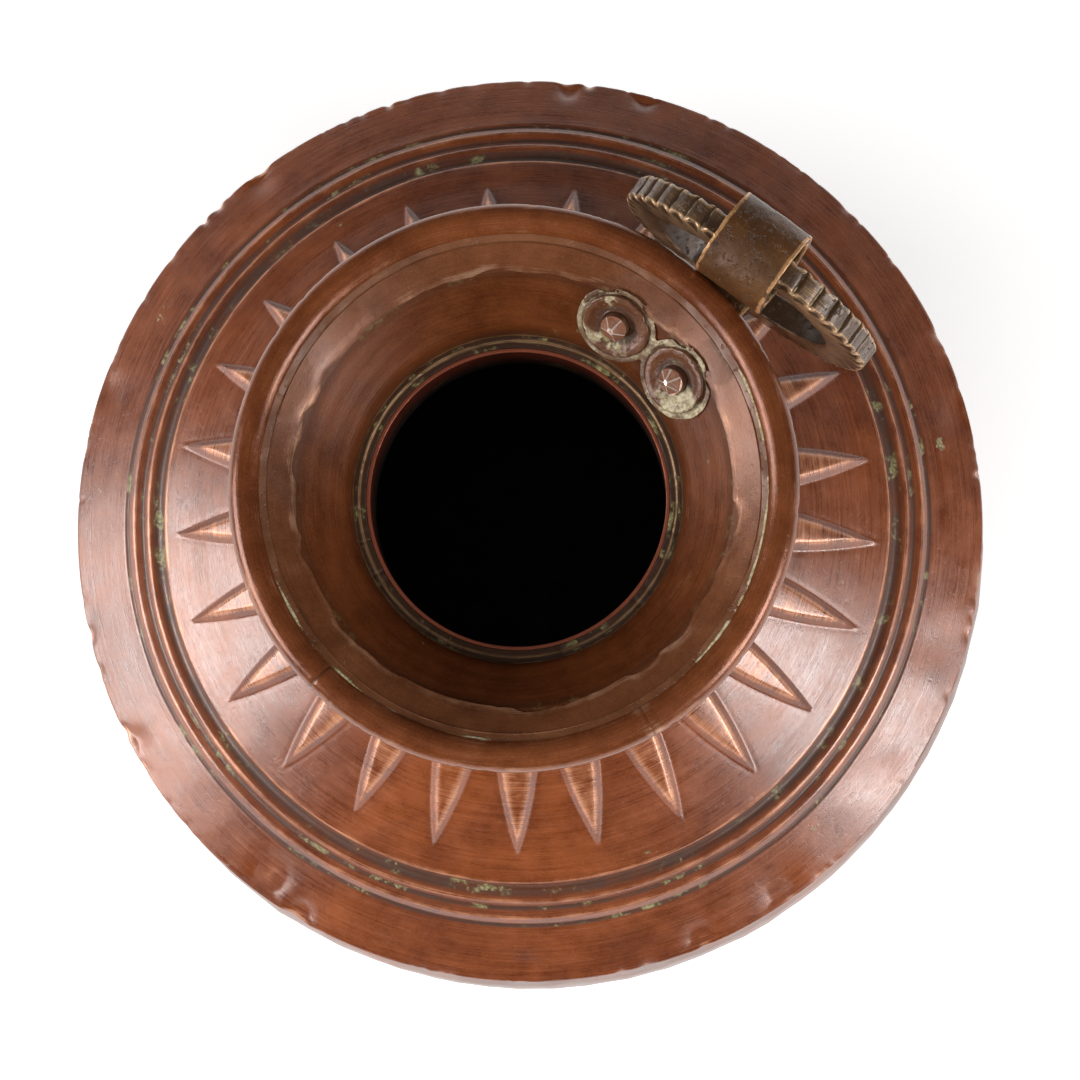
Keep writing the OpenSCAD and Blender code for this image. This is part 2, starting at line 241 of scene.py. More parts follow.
def make(name, points, faces, marks, sharp=38):
    """A smooth-shaded mesh object with its marks."""
    mesh = bpy.data.meshes.new(name)
    mesh.from_pydata(points.reshape(-1, 3).tolist(), [], faces)
    set_marks(mesh, marks, points.shape[:-1])
    mesh.validate()
    mesh.shade_smooth()
    mesh.set_sharp_from_angle(angle=math.radians(sharp))
    return placed(name, mesh)


def grid_faces(rows, cols, closed_rows=True):
    index = np.arange(rows * cols).reshape(rows, cols)
    right, up = np.roll(index, -1, 1), np.roll(index, -1, 0)
    quads = np.stack([index, right, np.roll(up, -1, 1), up], -1)
    if not closed_rows:
        quads = quads[:-1]
    return quads.reshape(-1, 4).tolist()


def turned(name, grid, marks, sharp=38):
    """A closed solid whose grid wraps both ways. Rows on the axis close to one point."""
    thing = make(name, grid, grid_faces(*grid.shape[:2]), marks, sharp)
    if radius_of(grid).min() < 1e-9:
        weld(thing.data)
    return thing


def weld(mesh):
    """Joins points that lie in one place, and drops the faces that this leaves without area."""
    work = bmesh.new()
    work.from_mesh(mesh)
    bmesh.ops.remove_doubles(work, verts=work.verts, dist=1e-7)
    work.to_mesh(mesh)
    work.free()


def finish_piece(thing, node, material, body="vessel"):
    thing.data.materials.append(material)
    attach(thing, body)
    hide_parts(*([node] if isinstance(node, str) else node))
    return thing


# ---- material building
def tone(red, green, blue):
    """A linear colour from its 0-255 display values."""
    share = [c / 255 for c in (red, green, blue)]
    return tuple(c / 12.92 if c < 0.04045 else ((c + 0.055) / 1.055) ** 2.4 for c in share) + (1.0,)


class Shader:
    """Short calls for the nodes of one material."""

    def __init__(self, name):
        self.material = bpy.data.materials.new(name)
        self.material.use_nodes = True
        self.tree = self.material.node_tree
        self.surface = self.tree.nodes["Principled BSDF"]
        self.place = self.add("ShaderNodeTexCoord").outputs["Object"]

    def add(self, kind, inputs=(), **settings):
        node = self.tree.nodes.new(kind)
        for key, value in settings.items():
            setattr(node, key, value)
        for key, value in dict(inputs).items():
            self.set(node.inputs[key], value)
        return node

    def set(self, socket, value):
        if isinstance(value, bpy.types.NodeSocket):
            self.tree.links.new(value, socket)
        else:
            socket.default_value = value

    def look(self, name, value):
        self.set(self.surface.inputs[name], value)

    def sum(self, operation, *values):
        node = self.add("ShaderNodeMath", operation=operation)
        for socket, value in zip(node.inputs, values):
            self.set(socket, value)
        return node.outputs[0]

    def total(self, *shares):
        """The sum of values, each times its number."""
        result = 0.0
        for value, number in shares:
            result = self.sum("ADD", result, self.sum("MULTIPLY", value, number))
        return result

    def swayed(self, value, *noises):
        """The value moved by noises about their middle, each times its number."""
        for noise, number in noises:
            value = self.sum("ADD", value, self.total((self.sum("SUBTRACT", noise, 0.5), number)))
        return value

    def mix(self, share, first, second):
        node = self.add("ShaderNodeMix", data_type="RGBA")
        for key, value in ((0, share), (6, first), (7, second)):
            self.set(node.inputs[key], value)
        return node.outputs[2]

    def between(self, value, low, high, to_low=0.0, to_high=1.0):
        node = self.add("ShaderNodeMapRange", interpolation_type="SMOOTHSTEP")
        for key, number in enumerate((value, low, high, to_low, to_high)):
            self.set(node.inputs[key], number)
        return node.outputs[0]

    def noise(self, scale, detail=3.0, vector=None, roughness=0.55, distortion=0.0):
        node = self.add("ShaderNodeTexNoise", {
            "Vector": self.place if vector is None else vector, "Scale": scale,
            "Detail": detail, "Roughness": roughness, "Distortion": distortion})
        return node.outputs[0]

    def mark(self, name):
        return self.add("ShaderNodeAttribute", attribute_name=name).outputs["Fac"]

    def brushing(self, length, width, climb):
        """A vector that stretches a noise round the vertical axis. climb is a height's share in it."""
        split = self.add("ShaderNodeSeparateXYZ", {0: self.place}).outputs
        flat = self.add("ShaderNodeVectorMath", {0: self.place, 1: (1, 1, 0)}, operation="MULTIPLY")
        unit = self.add("ShaderNodeVectorMath", {0: flat.outputs[0]}, operation="NORMALIZE")
        r = self.add("ShaderNodeVectorMath", {0: flat.outputs[0]}, operation="LENGTH").outputs["Value"]
        sides = self.add("ShaderNodeSeparateXYZ", {0: unit.outputs[0]}).outputs
        level = self.total((r, 1 / width), (split[2], climb / width))
        return self.add("ShaderNodeCombineXYZ", {
            0: self.sum("MULTIPLY", sides[0], length), 1: self.sum("MULTIPLY", sides[1], length),
            2: level}).outputs[0]


def copper(name, dark, light, worn_and_highlight_tone, rough=0.34, brushed=1.0, green=0.5, metallic=0.28, pits=0.3,
           solder=None, relief=1.0, gloss=0.7, ior=1.6, climb=0.7):
    """Old copper: blotched tones, turned brush lines, rubbed edges with painted highlights on some, dark
    hollows that are part dirt and part painted shade, green specks, and near-black painted shade on the faces
    inside the vessel.
    """
    s = Shader(name)
    blotch = s.noise(22, 5, roughness=0.6, distortion=0.4)
    cloud = s.noise(95, 4, roughness=0.65)
    speck = s.noise(900, 3)
    pit = s.noise(420, 4, roughness=0.7)
    long_lines = s.noise(1, 5, s.brushing(2.2, 1.1 * MM, climb), roughness=0.75)
    fine_lines = s.noise(1, 3, s.brushing(6, 0.3 * MM, climb), roughness=0.65)
    grain = s.noise(1900, 2)
    wear_and_highlight, grime_and_shade, inside = s.mark("wear_and_highlight"), s.mark("grime_and_shade"), s.mark("inside")

    depth = s.total((blotch, 0.4), (cloud, 0.3), (long_lines, 0.22 * brushed),
                    (fine_lines, 0.2 * brushed), (grain, 0.25))
    middle = (0.4 + 0.3 + 0.25 + 0.42 * brushed) / 2
    colour = s.mix(s.between(depth, middle - 0.2, middle + 0.2), tone(*dark), tone(*light))
    # The rubbed tone: rubbed copper, and painted highlights where the marks call for them
    rub = s.swayed(wear_and_highlight, (fine_lines, 0.9), (cloud, 0.8))
    rub = s.sum("MULTIPLY", s.between(rub, 0.28, 0.85), s.between(wear_and_highlight, 0.0, 0.15))
    colour = s.mix(rub, colour, tone(*worn_and_highlight_tone))
    # The dark tone: dirt in grooves and hollows, and painted shade where the marks stand in for shadow
    soot_and_shade = s.sum("MULTIPLY", s.between(grime_and_shade, 0.1, 0.8), s.between(cloud, 0.3, 0.62, 0.55, 1.0))
    colour = s.mix(s.sum("MULTIPLY", soot_and_shade, 0.82), colour, tone(52, 33, 20))
    loose = s.noise(240, 3, roughness=0.6)
    patches = s.between(s.noise(60, 5, roughness=0.7), 0.52, 0.64)
    crust = s.sum("MULTIPLY", s.between(grime_and_shade, 0.25, 0.8), patches)
    crust = s.sum("MULTIPLY", crust, s.between(loose, 0.48, 0.6))
    stray = s.sum("MULTIPLY", s.between(s.noise(48, 2), 0.66, 0.74), s.between(loose, 0.6, 0.68))
    crust = s.sum("MINIMUM", s.sum("MULTIPLY", s.sum("ADD", crust, stray), green), 1.0)
    crust_tone = s.mix(s.between(speck, 0.35, 0.65), tone(104, 98, 52), tone(168, 158, 108))
    colour = s.mix(crust, colour, crust_tone)
    if solder:
        filled = s.sum("MULTIPLY", s.mark("solder"), s.between(cloud, 0.3, 0.55))
        filled = s.between(s.swayed(filled, (loose, 0.5)), 0.3, 0.6)
        pale = s.mix(s.between(speck, 0.35, 0.65), tone(*solder), tone(205, 190, 160))
        colour = s.mix(filled, colour, pale)
        crust = s.sum("MAXIMUM", crust, filled)
    # Painted shade: the faces inside the vessel are painted near black, standing in for the dark within
    colour = s.mix(inside, colour, tone(22, 15, 11))
    s.look("Base Color", colour)

    shine = s.swayed(rough, (long_lines, 0.25 * brushed), (fine_lines, 0.3 * brushed), (cloud, 0.25))
    dull = s.sum("MAXIMUM", crust, s.sum("MULTIPLY", soot_and_shade, 0.6))
    shine = s.sum("ADD", shine, s.total((rub, -0.06), (dull, 0.35)))
    s.look("Roughness", s.sum("MINIMUM", s.sum("MAXIMUM", shine, 0.12), 0.9))
    bare = s.sum("ADD", metallic, s.sum("MULTIPLY", rub, 0.3))
    s.look("Metallic", s.sum("MULTIPLY", bare, s.sum("SUBTRACT", 1.0, crust)))
    s.look("IOR", ior)
    s.look("Specular IOR Level", gloss)

    height = s.total((fine_lines, 0.8 * brushed), (grain, 0.3), (long_lines, 0.5 * brushed),
                     (s.between(pit, 0.56, 0.7), -pits), (crust, 1.2))
    bump = s.add("ShaderNodeBump", {"Height": height, "Strength": 0.8, "Distance": 0.1 * MM * relief})
    s.look("Normal", bump.outputs[0])
    return s.material


def plain_metal(name, dark, light, rough=0.6, metallic=0.30):
    """For the wire and the solder that lie inside: blotched, pitted and dull."""
    s = Shader(name)
    cloud, fine = s.noise(140, 5, roughness=0.65), s.noise(800, 4)
    colour = s.mix(s.between(cloud, 0.35, 0.65), tone(*dark), tone(*light))
    s.look("Base Color", s.mix(s.between(fine, 0.6, 0.75), colour, tone(70, 64, 46)))
    s.look("Roughness", s.between(cloud, 0.3, 0.7, rough + 0.1, rough - 0.1))
    s.look("Metallic", metallic)
    bump = s.add("ShaderNodeBump", {"Height": fine, "Strength": 0.5, "Distance": 0.2 * MM})
    s.look("Normal", bump.outputs[0])
    return s.material


# ---- shoulder
def under(r, sheets=0.0):
    """Height of the shoulder's outer face at a radius, or of a line some sheets below it."""
    return SEAM_Z + (seam_r - r) * math.tan(SHOULDER_SLOPE) - sheets * SHEET / math.cos(SHOULDER_SLOPE)


FLUTES = 25
FLUTE_START = math.radians(9.2)
FLUTE_TIP = 110 * MM
FLUTE_WIDE = 74 * MM
FLUTE_ROOT = 60 * MM
FLUTE_HALF = 7.25 * MM
FLUTE_H = 2.4 * MM
FLUTE_SIDE = 0.85                      # rise of a flute's side over its run
FLUTE_UNEVEN = 4.5 * MM                # how much farther out the flutes reach on two opposite sides
LONG_FLUTES = math.radians(136)        # direction of one of those sides
FLUTE_DRIFT = math.radians(0.7)        # how far a hand-chased flute strays from its even place


def flute_inside(r, turn):
    """How far inside its flute's outline a point lies, and the outline's half width there."""
    pitch = TURN / FLUTES
    which = np.floor((turn - FLUTE_START) / pitch + 0.5).astype(int) % FLUTES
    random = np.random.default_rng(7)
    aim, tip, width = (random.uniform(-1, 1, FLUTES)[which] for _ in range(3))
    off = (turn - FLUTE_START + pitch / 2) % pitch - pitch / 2 + FLUTE_DRIFT * aim
    end = FLUTE_TIP + FLUTE_UNEVEN * np.cos(turn - LONG_FLUTES) ** 2 - 0.6 * MM * (1 + tip)
    along = np.clip((end - r) / (end - FLUTE_WIDE), 0, 1)
    half = FLUTE_HALF * (0.97 + 0.03 * width) * (1 - (1 - along) ** 1.85)
    half = half * np.sqrt(np.clip((r - FLUTE_ROOT) / (FLUTE_WIDE - FLUTE_ROOT), 0, 1))
    return half - np.abs(off * r), half


def ridges(r):
    """The chased lines round the shoulder: thin grooves, two round ridges, and a wide groove."""
    mm = r / MM
    lift = 1.15 * np.maximum(bump_at(mm - 128.3, 1.55), bump_at(mm - 123.1, 1.45))
    lift = lift - 0.55 * bump_at(mm - 131.4, 0.55) - 0.25 * bump_at(mm - 125.7, 0.5)
    lift = lift - 0.75 * bump_at(mm - 120.1, 1.3)
    step = fade(mm, 108, 117.2) * (1 - fade(mm, 117.4, 118.5))
    lift = lift + 0.7 * step
    grime_and_shade = bump_at(mm - 131.4, 0.8) + bump_at(mm - 125.7, 0.8) + bump_at(mm - 120.3, 1.7)
    grime_and_shade = grime_and_shade + 0.5 * bump_at(mm - 118.9, 0.6)
    wear_and_highlight = bump_at(mm - 128.3, 0.9) + bump_at(mm - 123.1, 0.8) + 1.1 * bump_at(mm - 117.2, 0.7)
    return lift * MM, grime_and_shade, wear_and_highlight


# Dents near the shoulder's edge: direction and distance from the axis, size and depth
DENTS = ((190, 143, 8, 2.2), (196, 148, 5, 1.8), (249, 147, 6, 1.6), (261, 146, 9, 1.4), (41, 147, 4, 1.5),
         (31, 148.5, 4, 1.6), (281, 141, 10, 0.9), (118, 146, 7, 0.8), (331, 147, 7, 0.8), (226, 145, 6, 0.7),
         (84, 147, 6, 0.9), (165, 147, 5, 0.8), (300, 139, 12, 0.5), (140, 120, 16, 0.4), (62, 136, 13, 0.4))


def nicks(turns, seed, count, widths, depths):
    """Random nicks along an edge: their depth at each direction."""
    random = np.random.default_rng(seed)
    total = np.zeros_like(turns)
    for middle, width, depth in zip(random.uniform(0, 360, count), random.uniform(*widths, count),
                                    random.uniform(*depths, count)):
        total = np.maximum(total, depth * bump_at(turn_gap(turns, middle), width))
    return total


def shoulder():
    cols = FLUTES * 50
    stretches = ((stub_out_r, FLUTE_ROOT, 1.2), (FLUTE_ROOT, 111 * MM, 0.56), (111 * MM, 116 * MM, 0.9),
                 (116 * MM, 133 * MM, 0.38), (133 * MM, 146 * MM, 1.0), (146 * MM, seam_r - 0.4 * MM, 0.45))
    top = np.concatenate([np.arange(a, b, step * MM) for a, b, step in stretches])[::-1]
    sides = [(seam_r - 0.12 * MM, under(seam_r, 0.12))]
    sides += [(seam_r, under(seam_r, sheets)) for sheets in (0.4, 1.5, 2.7)]
    sides += [(seam_r - 0.3 * MM, under(seam_r, 3)), (throat_r, under(throat_r, 3)),
              (throat_r, under(throat_r, 2)), (fold_r, under(fold_r, 2)), (fold_r, under(fold_r, 1))]
    inside = [(r, under(r, 1)) for r in np.linspace(fold_r - 3 * MM, stub_out_r, 30)]
    # Counterclockwise: inwards over the top, then out under it and up the edge
    line = np.array([(r, under(r)) for r in top] + inside[::-1] + sides[::-1])
    grid = spin(line, cols, FLUTE_START)
    r, turns = radius_of(grid), turn_of(grid)
    on_top = np.zeros(len(line))
    on_top[:len(top)] = 1
    under_side = np.zeros(len(line))
    under_side[len(top):len(top) + len(inside)] = 1
    on_top, under_side = on_top[:, None], under_side[:, None]

    edge, half = flute_inside(r, np.radians(turns))
    ramp = FLUTE_SIDE * np.maximum(edge, 0)
    height = FLUTE_H * (1 - 0.16 * np.clip((half - edge) / np.maximum(half, 1e-6), 0, 1) ** 2)
    soft = 0.45 * MM
    blend = np.clip(0.5 + (ramp - height) / (2 * soft), 0, 1)
    flute = ramp * (1 - blend) + height * blend - soft * blend * (1 - blend)
    flute = np.maximum(flute, 0) - 0.05 * MM * bump_at(edge + 0.6 * MM, 0.9 * MM) * (half > 0.05 * MM)
    ridge, ridge_grime, ridge_wear = ridges(r)
    lift = flute + ridge
    lift = lift + 0.16 * MM * waves(grid, 26 * MM, 3) + 0.07 * MM * waves(grid, 9 * MM, 4)
    mark, _ = strikes(grid * np.array([1, 1, 0.6]), 15 * MM, 5)
    plain = fade(r, 132 * MM, 135 * MM)
    lift = lift - 0.16 * MM * (1 - mark ** 2) * plain
    dent_wear = np.zeros_like(r)
    for turn, middle, size, depth in DENTS:
        gap = np.hypot(r - middle * MM, np.radians(turn_gap(turns, turn)) * r)
        lift = lift - depth * MM * bump_at(gap, 0.8 * size * MM)
        dent_wear = np.maximum(dent_wear, 0.3 * bump_at(gap, 0.5 * size * MM) * min(depth, 1))
    lowest = -SHEET * (0.15 + 0.65 * fade(seam_r - r, 0.3 * MM, 3 * MM))
    lift = np.maximum(lift, lowest) * on_top + np.clip(ridge + flute * 0.8, 0, 0.9 * SHEET) * under_side

    nick = nicks(turns, 11, 100, (0.15, 0.9), (0.04, 0.4)) + nicks(turns, 12, 16, (0.3, 1.2), (0.3, 1.0))
    near = bump_at(np.maximum(seam_r - r, 0), 1.7 * MM) * np.maximum(on_top, 1 - under_side)
    wave = 0.15 * MM * (waves(grid, 40 * MM, 8) - 1) * bump_at(seam_r - r, 8 * MM)
    pull = -nick * MM * near + wave
    out = polar(1, np.radians(turns))
    tilt = math.sin(SHOULDER_SLOPE), math.cos(SHOULDER_SLOPE)
    grid = grid + out * (lift * tilt[0] + pull)[..., None]
    grid[..., 2] += lift * tilt[1] - 0.45 * nick * MM * near

    crest = bump_at(edge - FLUTE_H / FLUTE_SIDE, 0.8 * MM)
    on_flute = fade(edge, 0.4 * MM, 2 * MM)
    wear_and_highlight = 0.4 * on_flute + 0.22 * crest * fade(half, 0.2 * MM, 1 * MM) + 0.5 * ridge_wear + dent_wear
    wear_and_highlight = wear_and_highlight + bump_at(seam_r - r, 0.9 * MM) * (0.25 + 0.9 * np.clip(nick, 0, 1)) + 0.25 * near * nick
    grime_and_shade = ridge_grime + 0.8 * (1 - fade(r, 56 * MM, 66 * MM))
    grime_and_shade = grime_and_shade + 0.3 * bump_at(r - FLUTE_TIP, 1.5 * MM) * (edge > -1 * MM)
    # The sheet's underside, inside the vessel, is marked for the near-black painted shade
    marks = {"wear_and_highlight": wear_and_highlight * on_top, "grime_and_shade": grime_and_shade * on_top, "inside": under_side + 0 * r}
    finish = copper("shoulder_copper", (94, 38, 10), (162, 82, 30), (236, 164, 122), rough=0.32, green=0.9,
                    metallic=0.12, gloss=0.85, ior=1.75, climb=0)
    finish_piece(turned("shoulder_sheet", grid, marks), "shoulder", finish)


# ---- lower body and base
def body_outside(z):
    belly_z = SEAM_Z - BELLY_DROP
    throat_z = under(throat_r, 3)
    low = BASE_R + (belly_r - BASE_R) * np.sin(math.pi / 2 * (z - base_t) / (belly_z - base_t))
    high = throat_r + (belly_r - throat_r) * np.cos(math.pi / 2 * (z - belly_z) / (throat_z - belly_z))
    return np.where(z <= belly_z, low, high)


def lower_body():
    cols = 860
    rise = np.linspace(base_t, under(throat_r, 3), 175)
    flange = [(throat_r, under(throat_r, 2.02)), (fold_r - 0.1 * MM, under(fold_r, 1.98)),
              (fold_r - 0.1 * MM, under(fold_r, 1.02)), (throat_r - SHEET, under(throat_r - SHEET, 1.02))]
    fall = np.linspace(under(throat_r, 3), base_t, 26)
    line = np.array([(float(body_outside(z)), z) for z in rise] + flange
                    + [(float(body_outside(z)) - SHEET, z) for z in fall])
    grid = spin(line, cols)
    out = facing(grid)
    outer = np.zeros((len(line), 1))
    outer[1:len(rise) - 2] = 1
    mark, ridge = strikes(grid * np.array([1, 1, 0.75]), 11 * MM, 21)
    dimple, _ = strikes(grid, 34 * MM, 25)
    # Together under 1.1 mm, so that no mark goes through the sheet
    depth = 0.55 * (1 - mark ** 2) + 0.2 * (1 - dimple ** 2) + 0.1 * (1 - waves(grid, 60 * MM, 22))
    course = grid[..., 2] / (11.5 * MM)
    depth = depth + 0.05 * (1 + np.cos(TURN * course))
    grid = grid - out * (depth * MM * outer)[..., None]
    low = 1 - fade(grid[..., 2], 8 * MM, 40 * MM)
    high = fade(grid[..., 2], 196 * MM, 208 * MM)
    wear_and_highlight = (0.15 * ridge + 0.12 * bump_at(grid[..., 2] - 177 * MM, 26 * MM)) * outer
    # Outside, darker towards the bottom and just under the shoulder; the inner faces are darkened and painted
    # near black, a painted shade inside the vessel
    grime_and_shade = (0.45 * low + 0.5 * high) * outer + 0.6 * (1 - outer)
    marks = {"wear_and_highlight": wear_and_highlight, "grime_and_shade": grime_and_shade, "inside": 1 - outer}
    finish = copper("body_copper", (84, 44, 26), (148, 88, 56), (210, 160, 130), rough=0.34, brushed=0.15,
                    green=0.5, metallic=0.28, pits=0.6)
    finish_piece(turned("hammered_body", grid, marks), "lower_body", finish)


def base_plate():
    cols = 480
    foot_r = BASE_R + SHEET
    lean = (base_edge_r - foot_r) / base_edge_z
    inner = base_edge_r - SHEET
    corners = [(0, 0), (foot_r, 0), (base_edge_r, base_edge_z), (inner, base_edge_z),
               (BASE_R + lean * base_t * 0.6, base_t), (0, base_t)]
    grid = spin(outline(corners, 0.5 * MM, 2.2 * MM), cols)
    r = radius_of(grid)
    edge = fade(grid[..., 2], 4 * MM, base_edge_z)
    mark, ridge = strikes(grid * np.array([1, 1, 0.5]), 13 * MM, 31)
    below = grid[..., 2] < 0.9 * base_t
    push = 0.35 * (1 - mark ** 2) * (r > 8 * MM)
    push = push + 0.3 * bump_at(r - 60 * MM, 1.2 * MM) + 0.3 * bump_at(r - 92 * MM, 1.2 * MM)
    grid = grid - facing(grid) * (push * MM * below * fade(r, 6 * MM, 14 * MM))[..., None]
    grid[..., 2] -= 0.5 * MM * edge * (1 - waves(grid, 14 * MM, 33)) * 0.5
    scuffs = bump_at(r - BASE_R, 5 * MM) * (0.5 + 0.5 * waves(grid, 12 * MM, 34))
    # The base's inner top face is painted near black: painted shade inside the vessel
    marks = {"wear_and_highlight": 0.7 * scuffs + 0.3 * ridge + 0.8 * bump_at(grid[..., 2] - base_edge_z, 1.2 * MM),
             "grime_and_shade": 0.5 * (0.5 + 0.5 * waves(grid, 30 * MM, 35)) * below,
             "inside": ~below & (r < BASE_R - 1 * MM)}
    finish = copper("base_copper", (70, 42, 30), (124, 78, 54), (190, 140, 112), rough=0.42, brushed=0.5,
                    green=0.8, metallic=0.25, pits=0.8)
    finish_piece(turned("foot_plate", grid, marks), "base_plate", finish)


# ---- mouth
def on_cone(r, depth=0.0):
    return (r + depth * math.sin(MOUTH_SLOPE),
            cone_z + (r - cone_r) * math.tan(MOUTH_SLOPE) - depth * math.cos(MOUTH_SLOPE))


def flange_z(r):
    return knee_z + (r - knee_r) * math.tan(FLANGE_SLOPE)


def on_flange(r, depth=0.0):
    return (r + depth * math.sin(FLANGE_SLOPE), flange_z(r) - depth * math.cos(FLANGE_SLOPE))


def at_knee(depth):
    half = (MOUTH_SLOPE - FLANGE_SLOPE) / 2
    middle = (MOUTH_SLOPE + FLANGE_SLOPE) / 2
    reach = depth / math.cos(half)
    return knee_r + reach * math.sin(middle), knee_z - reach * math.cos(middle)


def wall(depth, steps=7):
    """The mouth's wall at a depth behind its inside face, from the stub up to the flange."""
    bottom = under(stub_out_r, 1) - STUB_BOTTOM_DROP
    r = FLARE_BEND - depth
    bend = [(stub_r + FLARE_BEND - r * math.cos(a), FLARE_Z + r * math.sin(a))
            for a in np.linspace(0, bend_turn, steps)]
    return [(stub_r + depth, bottom)] + bend + [at_knee(depth)]


def round_bead(radius, start, end, count):
    """Points on a circle about the rim's wire, between two directions in degrees."""
    return [(bead_x + radius * math.cos(math.radians(a)), bead_z + radius * math.sin(math.radians(a)))
            for a in np.linspace(start, end, count)]


def mouth_funnel():
    cols = 900
    meet = 163                         # where the flange runs into the rolled edge
    inside = wall(0) + [on_flange(bead_x - roll_r - 0.4 * MM)]
    curl = round_bead(roll_r, meet, -168, 34) + round_bead(wire_r, -168, meet, 30)
    outside = [on_flange(bead_x - roll_r - 0.4 * MM, SHEET)] + wall(SHEET)[::-1]
    # The outline runs clockwise as listed, so it is reversed
    line = outline((inside + curl + outside)[::-1], 0.25 * MM, 0.9 * MM)
    grid = spin(line, cols)
    out = facing(grid)
    r, turns = radius_of(grid), turn_of(grid)
    z = grid[..., 2]
    inner_face = (out[..., 2] > 0.3) & (r < bead_x - roll_r)
    mark, ridge = strikes(grid, 13 * MM, 41)
    uneven = 0.14 * waves(grid, 30 * MM, 42) + 0.05 * waves(grid, 8 * MM, 43)
    steps = 0.035 * np.sin(TURN * (z / (5.5 * MM) + 0.25 * waves(grid, 50 * MM, 44)))
    push = np.where(inner_face, uneven + steps * (z > cone_z), 0.22 * (mark ** 2 - 1) * (r < knee_r + 6 * MM))
    push = push * (z > lip_z + 3 * MM) * (r < bead_x - roll_r)
    grid = grid + out * (push * MM)[..., None]
    outer_low = (1 - inner_face) * (1 - fade(z, under(stub_out_r), under(stub_out_r) + 14 * MM))
    rub = np.clip(waves(grid, 7 * MM, 45), 0, 1) * bump_at(turn_gap(turns, 300), 60)
    marks = {"wear_and_highlight": 0.22 * ridge * (1 - inner_face) + 0.5 * rub * inner_face,
             "grime_and_shade": 0.75 * outer_low + 0.7 * (1 - fade(z, lip_z + 2 * MM, lip_z + 12 * MM)) * inner_face
             + 0.45 * bump_at(r - knee_r, 3 * MM) * inner_face}
    finish = copper("mouth_copper", (78, 36, 14), (130, 70, 34), (190, 132, 96), rough=0.4, gloss=0.4,
                    green=0.7, metallic=0.23)
    finish_piece(turned("flared_mouth", grid, marks), "mouth_funnel", finish)


def at_rivet(side):
    """The frame of a rivet: its axis square to the seat, its origin on the mouth's wall."""
    half_turn = math.asin(RIVET_GAP / 2 / RIVET_R)
    place = Matrix.Translation((RIVET_R, 0, on_cone(RIVET_R)[1])) @ Matrix.Rotation(-RIVET_SLOPE, 4, "Y")
    return Matrix.Rotation(RIVET_TURN + side * half_turn, 4, "Z") @ place


def moved(points, matrix):
    m = np.array(matrix)
    return points @ m[:3, :3].T + m[:3, 3]


def from_rivet(points, side):
    """Distance of points from a rivet's axis, and their height along it."""
    local = moved(points, at_rivet(side).inverted())
    return np.hypot(local[..., 0], local[..., 1]), local[..., 2]


def collar_start(turns):
    """The collar's inner edge: scalloped by the hammer, and trimmed round the washers."""
    circle = polar(1, np.radians(turns))
    ragged = waves(circle, 0.3, 51) + 0.5 * waves(circle, 0.09, 52)
    scallop, _ = strikes(circle, 0.17, 53)
    start = knee_r + (0.3 + np.clip(1.6 + 1.4 * ragged - 2.6 * scallop ** 2, 0, 3.6)) * MM
    tries = np.linspace(0, COLLAR_W - 1.2 * MM, 60)
    for side in (-1, 1):
        for i, turn in enumerate(np.radians(turns)):
            if turn_gap(turns[i], math.degrees(RIVET_TURN)) > WASHERS_WITHIN:
                continue
            r, z = on_flange(start[i] + tries, -COLLAR_T)
            clear = from_rivet(polar(r, turn, z), side)[0] > WASHER_R + TRIM_GAP
            blocked = np.nonzero(~clear)[0]
            if len(blocked):
                start[i] += tries[min(blocked[-1] + 1, len(tries) - 1)]
    return np.minimum(start, knee_r + COLLAR_W - 0.8 * MM)


def rim_collar():
    cols = 900
    turns = np.arange(cols) * 360 / cols
    start, end = collar_start(turns), knee_r + COLLAR_W
    across = np.linspace(0, 1, 12)
    rows = []
    for share, depth in [(s, -1.0) for s in across] + [(1, 0.0)] + [(s, 0.0) for s in across[::-1][3::4]]:
        r, z = on_flange(start + (end - start) * share, depth * COLLAR_T)
        rows.append(polar(r, np.radians(turns), z))
    grid = np.array(rows)[::-1]
    top = np.zeros(len(rows))
    top[:len(across)] = 1
    top = top[::-1][:, None]
    mark, ridge = strikes(grid, 15 * MM, 55)
    near_edge = bump_at(radius_of(grid) - start, 1.3 * MM)
    drop = (0.35 * (1 - mark ** 2) + 0.3 * (1 - waves(grid, 13 * MM, 56)) + 0.3 * near_edge) * top
    grid[..., 2] -= drop * MM
    wear_and_highlight = (0.08 * ridge + 0.5 * near_edge * (0.5 + 0.5 * waves(grid, 18 * MM, 58)) + 0.12) * top
    grime_and_shade = 0.35 * bump_at(radius_of(grid) - end, 1.5 * MM) + 0.3 * (waves(grid, 16 * MM, 57) > 0.3)
    marks = {"wear_and_highlight": wear_and_highlight, "grime_and_shade": grime_and_shade * top}
    finish = copper("collar_copper", (90, 46, 22), (140, 84, 50), (196, 150, 120), rough=0.36, gloss=0.5,
                    brushed=0.5, green=1.0, metallic=0.28)
    finish_piece(turned("hammered_collar", grid, marks), "rim_collar", finish)


